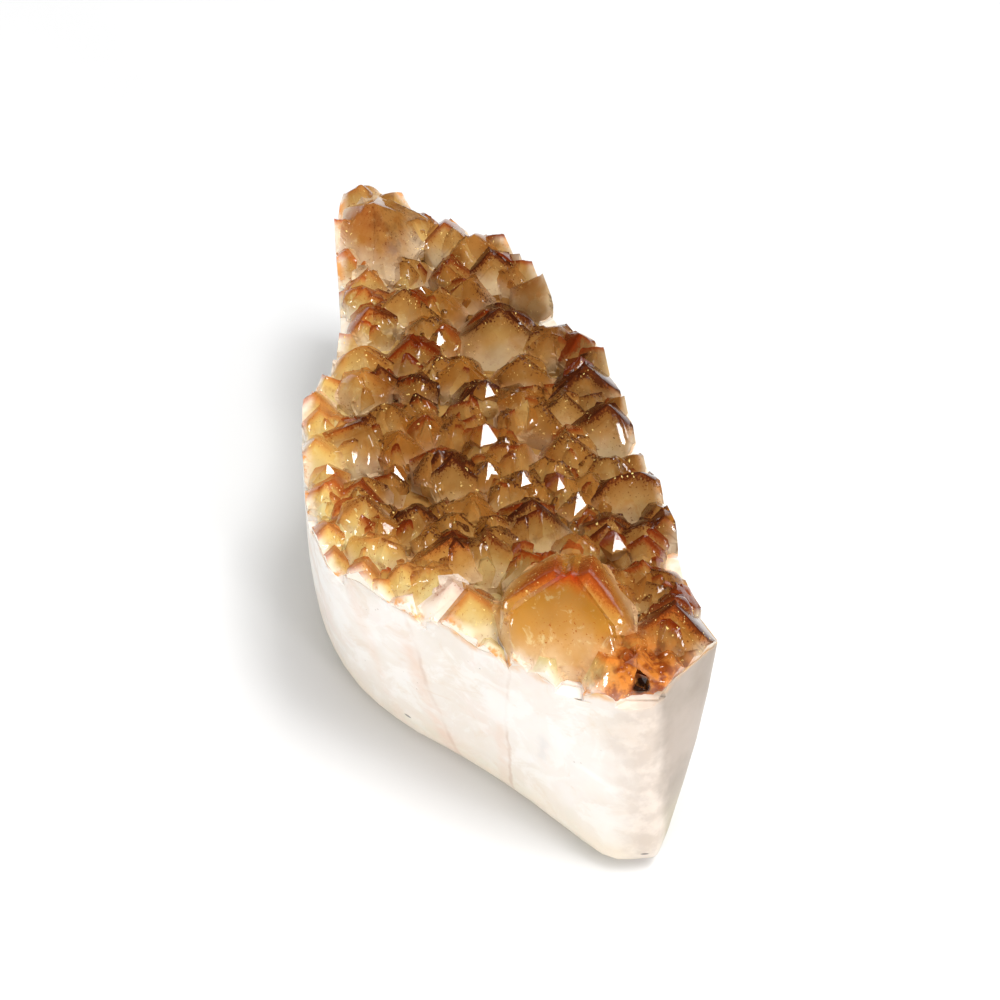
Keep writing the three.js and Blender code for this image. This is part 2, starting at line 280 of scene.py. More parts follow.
def overgrowths(tips, planes, spans, tree, side_tree, high):
    """Places of the small points: tip, axis, turn and width of each."""
    chance = random.Random(SEED)

    def surface(x, y):
        return tree.ray_cast(Vector((x, y, high.z + 1)), DOWN)

    def sideways(most):
        return Vector((chance.uniform(-most, most), chance.uniform(-most, most), 0))

    def lean(normals, scatter):
        axis = sum(normals, Vector()).normalized() + Vector((0, 0, UPWARD))
        axis += sideways(scatter)
        return axis.normalized()

    def clear(x, y, half):
        return side_tree.find_nearest(Vector((x, y, RIM_LEVEL)))[3] > half + RIM_CLEAR

    places = []
    for point in sorted(tips):
        if not LEAST_SPAN < spans[point] < MOST_SPAN:
            continue
        tip, span = tips[point], spans[point]
        axis = lean([normal for normal, _ in planes[point].values()], 0)
        turn = chance.uniform(0, math.pi / 3)
        for _ in range(chance.choice(SIBLINGS)):
            angle, reach = chance.uniform(0, 2 * math.pi), span * chance.uniform(*SIBLING_REACH)
            x, y = tip.x + reach * math.cos(angle), tip.y + reach * math.sin(angle)
            width = span * chance.uniform(*SIBLING_WIDTH)
            hit = surface(x, y)[0]
            if hit is None or not clear(x, y, width / 2):
                continue
            z = min(hit.z + chance.uniform(*SIBLING_LIFT), tip.z - BELOW_TIP)
            bent = (axis + sideways(SIBLING_BEND)).normalized()
            turned = turn + chance.uniform(-SIBLING_TURN, SIBLING_TURN)
            places.append((Vector((x, y, z)), bent, turned, width))
    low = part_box(NODE)[0]
    angles = [2 * math.pi * i / RING_PLACES for i in range(RING_PLACES)]
    ring = [(VALLEY_RING * math.cos(angle), VALLEY_RING * math.sin(angle)) for angle in angles]
    count = len(places) + SPROUTS
    while len(places) < count:
        x, y = chance.uniform(low.x, high.x), chance.uniform(low.y, high.y)
        width = chance.uniform(*SPROUT_WIDTH)
        hit, normal = surface(x, y)[:2]
        if hit is None or hit.z < RIM_LEVEL or not clear(x, y, width / 2):
            continue
        around = [surface(x + dx, y + dy)[0] for dx, dy in ring]
        if None in around or sum(h.z for h in around) / RING_PLACES - hit.z < VALLEY_DEPTH:
            continue
        z = hit.z + chance.uniform(*SPROUT_LIFT)
        places.append((Vector((x, y, z)), lean([normal], SPROUT_BEND), chance.uniform(0, 1), width))
    broad = (Vector(BROAD_TIP) * MM).xy
    places = [place for place in places if (place[0].xy - broad).length > BROAD_CLEAR]
    return places + flashes(surface)


def flashes(surface):
    """Places of the points whose near flat turns the lamp's light into the camera."""
    lamp = CAMERA_AIM + direction(*FLASH_LAMP[:2]) * FLASH_LAMP[2]
    places = []
    for x, y, width in FLASHES:
        hit = surface(x * MM, y * MM)[0]
        tip = hit + Vector((0, 0, FLASH_LIFT))
        halfway = ((lamp - tip).normalized() + (camera.location - tip).normalized()).normalized()
        level = Vector((halfway.x, halfway.y, 0)).normalized()
        lean = math.acos(halfway.z) - FACE_TILT
        axis = level * math.sin(lean) + Vector((0, 0, math.cos(lean)))
        outward = level * math.cos(lean) - Vector((0, 0, math.sin(lean)))
        frame_x = axis.orthogonal().normalized()
        turn = math.atan2(outward.dot(axis.cross(frame_x)), outward.dot(frame_x))
        places.append((tip, axis, turn, width * MM))
    return places


def as_mesh(bm, name):
    mesh = bpy.data.meshes.new(name)
    bm.to_mesh(mesh)
    return mesh


def batches(places):
    """The places in sets whose members lie clear of one another."""
    sets = []
    for place in places:
        for members in sets:
            if all((place[0] - other[0]).length > (place[3] + other[3]) * APART for other in members):
                members.append(place)
                break
        else:
            sets.append([place])
    return sets


def is_closed(mesh):
    """Whether every edge has exactly two faces."""
    edges = np.zeros(len(mesh.loops), int)
    mesh.loops.foreach_get("edge_index", edges)
    return bool((np.bincount(edges, minlength=len(mesh.edges)) == 2).all())


def joined(mesh, bm):
    """A copy of the mesh with the closed forms in bm joined on."""
    bmesh.ops.recalc_face_normals(bm, faces=bm.faces)
    tool = new_object("grown", as_mesh(bm, "grown"))
    bm.free()
    result = cut(mesh.copy(), tool, "UNION", "joined")
    data = result.data
    bpy.data.objects.remove(result)
    return data


def with_form(mesh, tip, normals, reaches):
    """The mesh with a convex form joined on, unless that would leave it open."""
    bm = bmesh.new()
    add_convex(bm, tip, normals, reaches)
    grown = joined(mesh, bm)
    return grown if is_closed(grown) else mesh


def crowned(mesh, tips, planes):
    """The mesh with twins of the tallest point beside it, cut by the same planes."""
    tallest = max(tips, key=lambda point: tips[point].z)
    normals = [normal for normal, _ in planes[tallest].values()]
    reaches = [reach - normal.dot(tips[tallest]) for normal, reach in planes[tallest].values()]
    for side in range(6):
        normals.append(Vector((math.cos(side * math.pi / 3), math.sin(side * math.pi / 3), 0)))
        reaches.append(CROWN_HALF)
    normals.append(DOWN)
    reaches.append(CROWN_ROOT)
    for offset in CROWN:
        mesh = with_form(mesh, tips[tallest] + Vector(offset) * MM, normals, reaches)
    return mesh


def broadened(mesh):
    """The mesh with the broad point joined on."""
    normals = [direction(azimuth, elevation) for azimuth, elevation, _ in BROAD_PLANES]
    return with_form(mesh, Vector(BROAD_TIP) * MM, normals, [reach * MM for _, _, reach in BROAD_PLANES])


def overgrow(mesh, places):
    """The mesh with small points joined on, batch by batch; a batch that touches edge to edge is
    raised a hair and joined again."""
    for number, members in enumerate(batches(places)):
        for attempt in range(ATTEMPTS):
            chance = random.Random(SEED + number)
            bm = bmesh.new()
            for tip, axis, turn, width in members:
                add_quartz_point(bm, chance, tip + NUDGE * attempt * MM, axis, turn, width)
            grown = joined(mesh, bm)
            if is_closed(grown):
                mesh = grown
                break
    return mesh


# ---- finer, slightly uneven faces on the points ----
REFINE_ROUNDS = 7
RIDGE_EDGE, FLAT_EDGE = 0.85 * MM, 2.2 * MM  # the longest edges near a ridge and on a flat
RIDGE_BAND = 0.8 * MM
UNEVEN, UNEVEN_SIZE = 0.055 * MM, 3.2 * MM
FINER_SHARE, FINER = 0.5, 2.3  # of a second wave in the flats
SOFT_SHARE, SOFT = 0.06, (0.1 * MM, 0.75 * MM)  # rounding: share of the span, least and most


def refine(bm, planes):
    """Splits the points' edges: short ones near the ridges, longer ones on the flats."""
    point_layer = bm.faces.layers.int["point"]
    flat_layer = bm.faces.layers.int["flat"]
    for _ in range(REFINE_ROUNDS):
        chosen = []
        for edge in bm.edges:
            length = edge.calc_length()
            if length < RIDGE_EDGE:
                continue
            face = next((f for f in edge.link_faces if f[point_layer] >= 0), None)
            if face is None:
                continue
            middle = (edge.verts[0].co + edge.verts[1].co) / 2
            near = ridge_distance(planes, face[point_layer], face[flat_layer], middle)
            if length > FLAT_EDGE or near < RIDGE_BAND:
                chosen.append(edge)
        if not chosen:
            break
        bmesh.ops.subdivide_edges(bm, edges=chosen, cuts=1)
        bmesh.ops.triangulate(bm, faces=bm.faces, quad_method="SHORT_EDGE")


def soften(bm, planes, spans, crisp):
    """Moves the points' faces inward: ridges and tips are rounded, and a slow noise keeps every
    flat from being dead flat, save on the crisp points."""
    point_layer = bm.faces.layers.int["point"]
    bm.normal_update()
    moves = {}
    for v in bm.verts:
        owners = {f[point_layer] for f in v.link_faces}
        if -1 in owners or owners & crisp:
            continue
        finer = noise.noise(v.co / (UNEVEN_SIZE / FINER))
        wave = noise.noise(v.co / UNEVEN_SIZE) + FINER_SHARE * finer
        move = -v.normal * UNEVEN * (1 + wave)
        if len(owners) == 1:
            point = owners.pop()
            soft = softness(spans[point])
            total, blend = 0.0, Vector()
            for normal, reach in planes[point].values():
                share = math.exp(-max(0.0, reach - normal.dot(v.co)) / soft)
                total += share
                blend += share * normal
            if total > 1:
                move -= blend.normalized() * soft * math.log(total)
        moves[v] = move
    for v, move in moves.items():
        v.co += move


def softness(span):
    """How far the ridges of a point of this span are rounded."""
    return min(max(SOFT_SHARE * span, SOFT[0]), SOFT[1])


# ---- the buried surface between crust and slab ----
GRID = 1.0 * MM
BLUR, BLUR_REACH = 1.8 * MM, 4
NO_WEIGHT, LEAST_WEIGHT = 1e-9, 1e-6
WOBBLE, WOBBLE_SIZE = 1.0 * MM, 7 * MM
WOBBLE_SHARES = (0.35, 0.65)  # at the rim, and what is added inside
CRUST_DEPTH = (1.2 * MM, 4.8 * MM)  # from the blurred top down to the slab, at the rim and inside
LEAST_COVER = (0.3 * MM, 1.5 * MM)  # from the points' faces down to the slab, likewise
RIM_WIDTH = 6 * MM
RIM_LEVEL = 45 * MM
RIM_PART, RIM_DROP = 0.5, 0.4 * MM  # the outer part of the rim, where the slab is no lower
CRUST_LAP = 1.0 * MM  # the crust reaches this far into the slab, so no air gap lies between
CRUST_INSET = 0.997  # the crust's ground side lies just inside the slab's
MARGIN = 6 * MM
BELOW = -5 * MM


def blurred(values, known, sigma):
    """Gaussian blur of a grid over the cells that are known, spread into the others."""
    reach = int(BLUR_REACH * sigma)
    kernel = np.exp(-0.5 * (np.arange(-reach, reach + 1) / sigma) ** 2)

    def smooth(grid):
        for axis in (0, 1):
            grid = np.apply_along_axis(lambda row: np.convolve(row, kernel, mode="same"), axis, grid)
        return grid

    weight = smooth(known.astype(float))
    return smooth(np.where(known, values, 0.0)) / np.maximum(weight, NO_WEIGHT), weight > LEAST_WEIGHT


class Buried:
    """The slab's hidden top as heights on a grid."""

    def __init__(self, tree, owner, side_tree, low, high):
        self.xs = np.arange(low.x - MARGIN, high.x + MARGIN, GRID)
        self.ys = np.arange(low.y - MARGIN, high.y + MARGIN, GRID)
        top = np.zeros((len(self.xs), len(self.ys)))
        inward = np.zeros_like(top)
        known = np.zeros_like(top, bool)
        for i, x in enumerate(self.xs):
            for j, y in enumerate(self.ys):
                hit, _, face, _ = tree.ray_cast(Vector((x, y, high.z + MARGIN)), DOWN)
                if hit is not None and owner[face] >= 0:
                    top[i, j], known[i, j] = hit.z, True
                inward[i, j] = side_tree.find_nearest(Vector((x, y, RIM_LEVEL)))[3]
        inward = np.clip(inward / RIM_WIDTH, 0, 1)
        depth, cover = (low + (high - low) * inward for low, high in (CRUST_DEPTH, LEAST_COVER))
        smooth, reached = blurred(top, known, BLUR / GRID)
        smooth = np.where(reached, smooth, np.mean(smooth[known]))
        wobble = [[noise.noise(Vector((x, y, 0)) / WOBBLE_SIZE) for y in self.ys] for x in self.xs]
        share = WOBBLE_SHARES[0] + WOBBLE_SHARES[1] * inward
        height = smooth - depth + WOBBLE * np.array(wobble) * share
        height = np.where(known, np.minimum(height, top - cover), height)
        self.height = np.where(inward < RIM_PART, np.maximum(height, RIM_LEVEL - RIM_DROP), height)

    def at(self, x, y):
        """The height at a place."""
        i = min(max(int(round((x - self.xs[0]) / GRID)), 0), len(self.xs) - 1)
        j = min(max(int(round((y - self.ys[0]) / GRID)), 0), len(self.ys) - 1)
        return self.height[i, j]

    def block(self, name, drop):
        """A closed block up to the surface, less the drop."""
        nx, ny = self.height.shape
        low = [(x, y, BELOW) for x in self.xs for y in self.ys]
        top = [(x, y, z - drop) for (x, y, _), z in zip(low, self.height.flat)]
        count = nx * ny
        faces = []
        for i in range(nx - 1):
            for j in range(ny - 1):
                a = i * ny + j
                b, c, d = a + ny, a + ny + 1, a + 1
                faces.append((a, d, c, b))
                faces.append((a + count, b + count, c + count))
                faces.append((a + count, c + count, d + count))
        rim = [*range(0, count, ny), *range(count - ny + 1, count)]
        rim += [*range(count - ny - 1, 0, -ny), *range(ny - 2, 0, -1)]
        for a, b in zip(rim, rim[1:] + rim[:1]):
            faces.append((a, b, b + count, a + count))
        mesh = bpy.data.meshes.new(name)
        mesh.from_pydata(low + top, [], faces)
        return new_object(name, mesh)


def cut(mesh, tool, operation, name):
    """A new object: the mesh cut with the tool object, which is then removed."""
    obj = new_object(name, mesh)
    modifier = obj.modifiers.new("cut", "BOOLEAN")
    modifier.solver = "MANIFOLD"
    modifier.operation = operation
    modifier.object = tool
    evaluated = obj.evaluated_get(bpy.context.evaluated_depsgraph_get())
    result = bpy.data.meshes.new_from_object(evaluated)
    obj.modifiers.clear()
    obj.data = result
    result.name = name
    bpy.data.objects.remove(tool)
    return obj


def keep_largest(data):
    """Takes out crumbs and enclosed pockets: every connected part but the largest."""
    bm = bmesh.new()
    bm.from_mesh(data)
    bm.faces.index_update()
    parts = Groups(len(bm.faces))
    for edge in bm.edges:
        for f in edge.link_faces[1:]:
            parts.join(edge.link_faces[0].index, f.index)
    roots = [parts.root(f.index) for f in bm.faces]
    largest = max(set(roots), key=roots.count)
    crumbs = [f for f, root in zip(bm.faces, roots) if root != largest]
    bmesh.ops.delete(bm, geom=crumbs, context="FACES")
    bm.to_mesh(data)
    bm.free()


# ---- the solid and its two pieces ----
WELD = 1e-6
STEEP = 0.7  # the ground side's normals rise less than this


def tree_of(mesh, polygons=None):
    polygons = mesh.polygons if polygons is None else polygons
    return BVHTree.FromPolygons([v.co for v in mesh.vertices], [p.vertices for p in polygons])


def numbered(mesh, weld=0.0):
    """The mesh as a bmesh with its points numbered, and what find_points gives."""
    bm = bmesh.new()
    bm.from_mesh(mesh)
    if weld:
        bmesh.ops.remove_doubles(bm, verts=bm.verts, dist=weld)
    bmesh.ops.triangulate(bm, faces=bm.faces)
    bmesh.ops.delete(bm, geom=[e for e in bm.edges if not e.link_faces], context="EDGES")
    bm.faces.ensure_lookup_table()
    bm.faces.index_update()
    bm.normal_update()
    return (bm, *find_points(bm))


packed, tips, planes, spans = numbered(frame["nodes"][NODE].data, WELD)
coarse = as_mesh(packed, "coarse")
owner = np.array([d.value for d in coarse.attributes["point"].data])
side = [p for p, point in zip(coarse.polygons, owner) if point < 0 and abs(p.normal.z) < STEEP]
side_tree = tree_of(coarse, side)
coarse_tree = tree_of(coarse)
buried = Buried(coarse_tree, owner, side_tree, *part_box(NODE))
places = overgrowths(tips, planes, spans, coarse_tree, side_tree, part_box(NODE)[1])
for layer in ("point", "flat"):
    coarse.attributes.remove(coarse.attributes[layer])
solid, tips, planes, spans = numbered(overgrow(broadened(crowned(coarse.copy(), tips, planes)), places))
slab = cut(coarse, buried.block("slab_tool", 0), "INTERSECT", "milky_quartz")
refine(solid, planes)
bright = [place[0] for place in places[-len(FLASHES):]]
crisp = {point for point in tips if min((tips[point] - at).length for at in bright) < CRISP_REACH}
soften(solid, planes, spans, crisp)
fine = as_mesh(solid, "fine")
tree = tree_of(fine)
owner = np.array([d.value for d in fine.attributes["point"].data])
ground_layer = solid.faces.layers.int["point"]
for v in solid.verts:
    if any(f[ground_layer] < 0 for f in v.link_faces):
        v.co.x *= CRUST_INSET
        v.co.y *= CRUST_INSET
inset = as_mesh(solid, "inset")
crust = cut(inset, buried.block("crust_tool", CRUST_LAP), "DIFFERENCE", "citrine_crystals")
keep_largest(crust.data)


# ---- what the materials need to know at each corner ----
CRUST_MARKS = ("drop", "span", "crest", "rim", "grain", "milk", "flush", "cap", "wall")
MILKY = ((33.7, -16.4), (30.2, -23.7))  # x, y of points with milky flats
# golden points with a red tip: x, y and how much; the second and third are the twins of the first
FLUSHED = ((45.7, -0.9, 1), (44.1, -3.1, 0.75), (46.8, 1.9, 0.75), (54.6, 13.8, 0.5), (25.2, -12.4, 0.5))
BARE = ((53.2, -8.4), (43.8, -17.0), (44.9, -15.2))  # small ones at the rim with no iron on them
CAPPED = (  # with the darkest crests
    (-5.3, -15.9), (-21.1, 0.7), (-17.8, -6.9), (-11.8, -1.4), (-19.6, 18.5), (-0.1, 25.9), (10.3, 25.2),
    (26.4, 23.1), (9.0, -5.0), (-4.8, 6.6), (23.7, 3.3), (34.2, -1.9), (35.7, 1.6), (25.2, -12.4),
    (54.6, 13.8), (-35.8, 24.1), (15.7, -15.9), (32.7, 13.6), (36.5, 22.2), (-32.3, -2.9), (-38.3, -0.9),
    (44.1, -3.1), (46.8, 1.9),
)
GROUP, SAME = 3.2 * MM, 1.2 * MM  # from a place to the tips of a group and of one point
BROAD_CAP = 0.3
RIDGE_LOSS = 0.6  # of a point's softness
OFF_POINTS, OFF_GRAIN = 30, 0.5  # on the ground side
GOLDEN = 0.6180339887  # its multiples spread evenly over 0 to 1


def points_near(wanted, reach):
    """The numbers of the points whose tips lie near these places."""
    places = [Vector(place) * MM for place in wanted]
    return {point for point in tips if min((tips[point].xy - at).length for at in places) < reach}


def put_attributes(data, values):
    for name, numbers in values.items():
        data.attributes.new(name, "FLOAT", "CORNER").data.foreach_set("value", numbers)


def mark_crust(data):
    """In millimetres, the drop below the point's tip, the point's height, and the distances to a
    crest and to the ground side; and as 0 to 1, a number that differs from point to point, how
    milky, flushed and capped the point is, and 1 on the ground side."""
    values = {name: np.zeros(len(data.loops)) for name in CRUST_MARKS}
    milky, bare = points_near(MILKY, GROUP), points_near(BARE, SAME)
    flushed = {point: amount for x, y, amount in FLUSHED for point in points_near(((x, y),), SAME)}
    capped = points_near(CAPPED, GROUP) - {point for point in flushed if flushed[point] == 1}
    caps = {**dict.fromkeys(capped, 1), **dict.fromkeys(points_near((BROAD_TIP[:2],), SAME), BROAD_CAP)}
    rims = [side_tree.find_nearest(v.co)[3] / MM for v in data.vertices]
    for polygon in data.polygons:
        point = owner[tree.find_nearest(polygon.center)[2]]
        for loop in polygon.loop_indices:
            vertex = data.loops[loop].vertex_index
            marks = {"drop": OFF_POINTS, "span": OFF_POINTS, "crest": FAR_RIDGE / MM, "grain": OFF_GRAIN,
                     "wall": 1}
            if point >= 0:
                place = data.vertices[vertex].co
                crest = crest_distance(planes, point, place) - RIDGE_LOSS * softness(spans[point])
                marks = {
                    "drop": (tips[point].z - place.z) / MM,
                    "span": spans[point] / MM,
                    "crest": FAR_RIDGE / MM if point in bare else max(0.0, crest) / MM,
                    "grain": (point * GOLDEN) % 1,
                    "milk": point in milky,
                    "flush": flushed.get(point, 0),
                    "cap": caps.get(point, 0),
                }
            for name, value in marks.items():
                values[name][loop] = value
            values["rim"][loop] = rims[vertex]
    put_attributes(data, values)


def mark_slab(data):
    """Depth below the hidden surface, in mm."""
    places = [data.vertices[loop.vertex_index].co for loop in data.loops]
    put_attributes(data, {"under": np.array([(buried.at(p.x, p.y) - p.z) / MM for p in places])})


def shade(data, convex_limit, valley_limit):
    """Smooth shading, with sharp edges above one angle at ridges and another in valleys."""
    bm = bmesh.new()
    bm.from_mesh(data)
    for f in bm.faces:
        f.smooth = True
    for edge in bm.edges:
        if len(edge.link_faces) == 2:
            angle = edge.calc_face_angle_signed()
            edge.smooth = -math.radians(valley_limit) < angle < math.radians(convex_limit)
    bm.to_mesh(data)
    bm.free()


mark_crust(crust.data)
mark_slab(slab.data)
shade(crust.data, convex_limit=28, valley_limit=14)
shade(slab.data, convex_limit=30, valley_limit=30)
print("points", len(tips), "crust", len(crust.data.polygons), "slab", len(slab.data.polygons))


# ---- materials ----
QUARTZ_IOR = 1.544


def linear(red, green, blue):
    """An sRGB colour of 0 to 255 as a linear RGBA."""
    def one(c):
        c /= 255
        return c / 12.92 if c <= 0.04045 else ((c + 0.055) / 1.055) ** 2.4
    return (one(red), one(green), one(blue), 1.0)


class Nodes:
    """Short forms for the node tree of a material or world."""

    def __init__(self, owner, output="OutputMaterial"):
        self.owner = owner
        owner.use_nodes = True
        self.tree = owner.node_tree
        self.tree.nodes.clear()
        self.output = self.add(output)
        self.coordinates = self.add("TexCoord").outputs
        self.place = self.coordinates["Object"]
        self.colour = None

    def add(self, kind, inputs=(), **settings):
        node = self.tree.nodes.new("ShaderNode" + kind)
        for key, value in settings.items():
            setattr(node, key, value)
        for key, value in dict(inputs).items():
            self.put(node.inputs[key], value)
        return node

    def put(self, socket, value):
        if isinstance(value, bpy.types.NodeSocket):
            self.tree.links.new(value, socket)
        else:
            socket.default_value = value

    def attribute(self, name):
        return self.add("Attribute", attribute_name=name).outputs["Fac"]

    def parts(self, vector):
        return self.add("SeparateXYZ", {"Vector": vector}).outputs[:3]

    def noise(self, scale, detail=3.0, roughness=0.55, place=None, distortion=0.0):
        """Noise of 0 to 1 with features of about 1 / scale metres."""
        node = self.add("TexNoise", {"Vector": place or self.place, "Scale": scale,
                        "Detail": detail, "Roughness": roughness, "Distortion": distortion})
        return node.outputs["Fac"]

    def cells(self, scale):
        """Distance to the nearest of scattered places, in cells."""
        return self.add("TexVoronoi", {"Vector": self.place, "Scale": scale}).outputs["Distance"]

    def vector(self, operation, a, b=(0, 0, 0), output="Vector"):
        return self.add("VectorMath", {0: a, 1: b}, operation=operation).outputs[output]

    def math(self, operation, a, b=0.0, c=0.0):
        node = self.add("Math", operation=operation)
        for socket, value in zip(node.inputs, (a, b, c)):
            self.put(socket, value)
        return node.outputs[0]

    def times(self, a, b):
        return self.math("MULTIPLY", a, b)

    def most(self, a, b):
        return self.math("MAXIMUM", a, b)

    def scaled(self, value, by, plus):
        """value * by + plus"""
        return self.math("MULTIPLY_ADD", value, by, plus)

    def less(self, value, share, mask):
        """The value, less this share of it under the mask."""
        return self.times(value, self.scaled(mask, -share, 1.0))

    def ramp(self, value, low, high, to_low=0.0, to_high=1.0):
        """Smoothly from to_low at low to to_high at high."""
        node = self.add("MapRange", {"Value": value, "From Min": low, "From Max": high,
                        "To Min": to_low, "To Max": to_high}, interpolation_type="SMOOTHSTEP")
        return node.outputs["Result"]

    def mix(self, share, a, b):
        """From a to b, each a socket or an sRGB colour of 0 to 255."""
        node = self.add("Mix", data_type="RGBA")
        for key, value in (("Factor", share), (6, a), (7, b)):
            self.put(node.inputs[key], linear(*value) if isinstance(value, tuple) else value)
        return node.outputs[2]

    def paint(self, share, tone):
        """Lays a tone over the colour so far."""
        self.colour = self.mix(share, self.colour, tone)

    def bump(self, height, distance, strength, **below):
        inputs = {"Height": height, "Distance": distance, "Strength": strength, **below}
        return self.add("Bump", inputs).outputs["Normal"]

    def surface(self, **inputs):
        named = {key.replace("_", " "): value for key, value in inputs.items()}
        shader = self.add("BsdfPrincipled", named)
        self.tree.links.new(shader.outputs[0], self.output.inputs["Surface"])

    def volume(self, colour, density):
        absorb = self.add("VolumeAbsorption", {"Color": colour, "Density": density})
        self.tree.links.new(absorb.outputs[0], self.output.inputs["Volume"])


# ---- the citrine ----
# near the crests and lower down: in the middle, near the front, at the far end and at the right edge
BODY = (
    ((214, 142, 58), (244, 198, 116)),
    ((255, 210, 112), (255, 240, 172)),
    ((202, 148, 76), (226, 190, 120)),
    ((152, 102, 52), (182, 146, 96)),
)
ABSORBED, DENSITY = (0.95, 0.76, 0.22, 1), 85.0
PIT = Vector((62.4, 3.8, 46.2)) * MM
SPOT = Vector((61.1, 11.3, 46)) * MM


def citrine_masks(m):
    """Where a place is on its point, in mm, and on the cluster, as masks of 0 to 1."""
    at = SimpleNamespace(**{name: m.attribute(name) for name in CRUST_MARKS})
    along, across, _ = m.parts(m.place)
    at.patches = m.noise(70)
    at.share = m.math("FRACT", m.times(at.grain, 7.31))
    at.third = m.math("FRACT", m.times(at.grain, 13.7))
    # the edge of the cluster, its right edge, and the golden front
    edge = m.ramp(m.math("ADD", at.rim, m.times(m.noise(120, 2), 8)), 7, 19, 1, 0)
    near_end = m.ramp(along, 24 * MM, 40 * MM)
    at.far_end = m.ramp(m.scaled(at.patches, 10 * MM, along), -42 * MM, -30 * MM, 1, 0)
    behind = m.ramp(m.scaled(at.patches, 8 * MM, across), 6 * MM, 18 * MM)
    behind = m.times(behind, m.ramp(along, -36 * MM, -18 * MM, 0.5, 1))
    at.behind = m.times(behind, m.ramp(along, 0, 20 * MM, 1, 0.7))
    at.right = m.less(m.times(edge, at.behind), 1.0, at.far_end)
    gold = m.times(m.most(edge, near_end), m.ramp(across, 4 * MM, 14 * MM, 1, 0.25))
    at.gold = m.less(gold, 1.0, at.right)
    at.pale = m.most(m.less(edge, 1.0, at.right), at.far_end)
    at.warm = m.most(m.times(at.gold, 0.7), m.ramp(at.third, 0.6, 0.8))
    # how far down the iron's reach from the tip, and a wavering of -1 to 1
    iron_reach = m.scaled(at.grain, 4.0, 3.5)
    at.below = m.math("DIVIDE", m.scaled(m.noise(420, 4, 0.65), 2.4, at.drop), iron_reach)
    at.wavy = m.scaled(m.noise(500, 4, 0.65), 2.0, -1.0)
    return at


def citrine_body(m, at):
    """The points' colour: brown in the middle, honey towards the front, paler lower down, and grey green on
    the right that is partly painted backlight.
    """
    below_crest = m.ramp(m.scaled(m.noise(260), 3.0, at.crest), 1.8, 6.0)
    middle, front, back, brown = (m.mix(below_crest, *pair) for pair in BODY)
    m.colour = m.mix(at.far_end, m.mix(at.gold, middle, front), back)
    m.paint(at.right, brown)
    depth = m.scaled(m.most(at.gold, at.pale), -0.5, 0.6)
    m.paint(m.times(m.ramp(at.patches, 0.35, 0.65), depth), (186, 110, 38))
    m.paint(m.times(at.flush, 0.85), (214, 140, 42))
    # capped points are deeper near the crests; lower down on the right they are grey green, partly their own
    # tone and partly painted light shining through from behind
    deeper = m.times(at.cap, m.ramp(at.crest, 1.0, 6.0, 0.4, 0.08))
    m.paint(deeper, (158, 96, 38))
    window_and_backlight = m.times(m.times(at.cap, at.behind), m.ramp(at.crest, 4.0, 8.0, 0, 0.5))
    m.paint(window_and_backlight, (212, 196, 146))
    tint = m.mix(at.share, (160, 92, 36), (240, 206, 128))
    m.paint(m.scaled(at.flush, -0.22, 0.22), tint)


def citrine_clouds(m, at):
    """Smudges, veils and mist inside, and the mask of the clouds at the roots."""
    smudge = m.less(m.ramp(m.noise(340, 4, 0.65), 0.48, 0.62, 0, 0.55), 0.4, at.gold)
    m.paint(smudge, m.mix(at.third, (176, 104, 34), (214, 158, 84)))
    veils = m.ramp(m.noise(420, 4, 0.7, distortion=0.5), 0.55, 0.7, 0, 0.5)
    m.paint(veils, m.mix(at.gold, (222, 184, 122), (255, 236, 170)))
    root = m.math("DIVIDE", at.drop, m.most(at.span, 7.0))
    cloud = m.ramp(m.scaled(m.noise(150), 0.7, root), 0.75, 1.3)
    mist = m.less(m.times(cloud, m.scaled(at.pale, 0.3, 0.45)), 0.4, at.flush)
    m.paint(mist, m.mix(at.right, (252, 236, 204), (214, 192, 150)))
    return cloud


def milky_foot(m, at):
    """Milky quartz on the ground side and at the foot of the edge, and its mask."""
    foot = m.ramp(m.scaled(m.noise(240), 3.4, at.rim), 1.5, 4.2, 0.85, 0)
    foot = m.most(foot, m.times(at.wall, 0.9))
    foot = m.most(foot, m.times(at.milk, m.ramp(m.noise(170), 0.3, 0.6, 0.8, 1)))
    shaded = m.less(at.right, 0.45, at.wall)
    m.paint(foot, m.mix(shaded, (253, 243, 228), (188, 164, 124)))
    return foot


def iron_amount(m, at):
    """Iron near the crests and tips, more on some points than on others."""
    near_tip = m.ramp(at.below, 0.5, 1.7, 1, 0.1)
    width = m.scaled(at.span, 0.18, 1.2)
    near_crest = m.ramp(m.math("DIVIDE", m.scaled(at.wavy, 0.8, at.crest), width), -0.1, 1.1, 1, 0)
    strength = m.ramp(m.scaled(m.noise(90, 2), 0.8, at.share), 0.3, 0.9, 0.4, 0.8)
    strength = m.less(m.most(strength, m.times(at.cap, 1.1)), 0.45, at.pale)
    strength = m.times(strength, m.scaled(at.right, 0.4, 1.0))
    iron = m.times(m.times(near_tip, near_crest), strength)
    iron = m.times(iron, m.most(m.ramp(at.rim, 0.8, 4.5, 0.15, 1), m.ramp(at.span, 7.5, 9.0)))
    return m.less(iron, 0.9, at.wall)


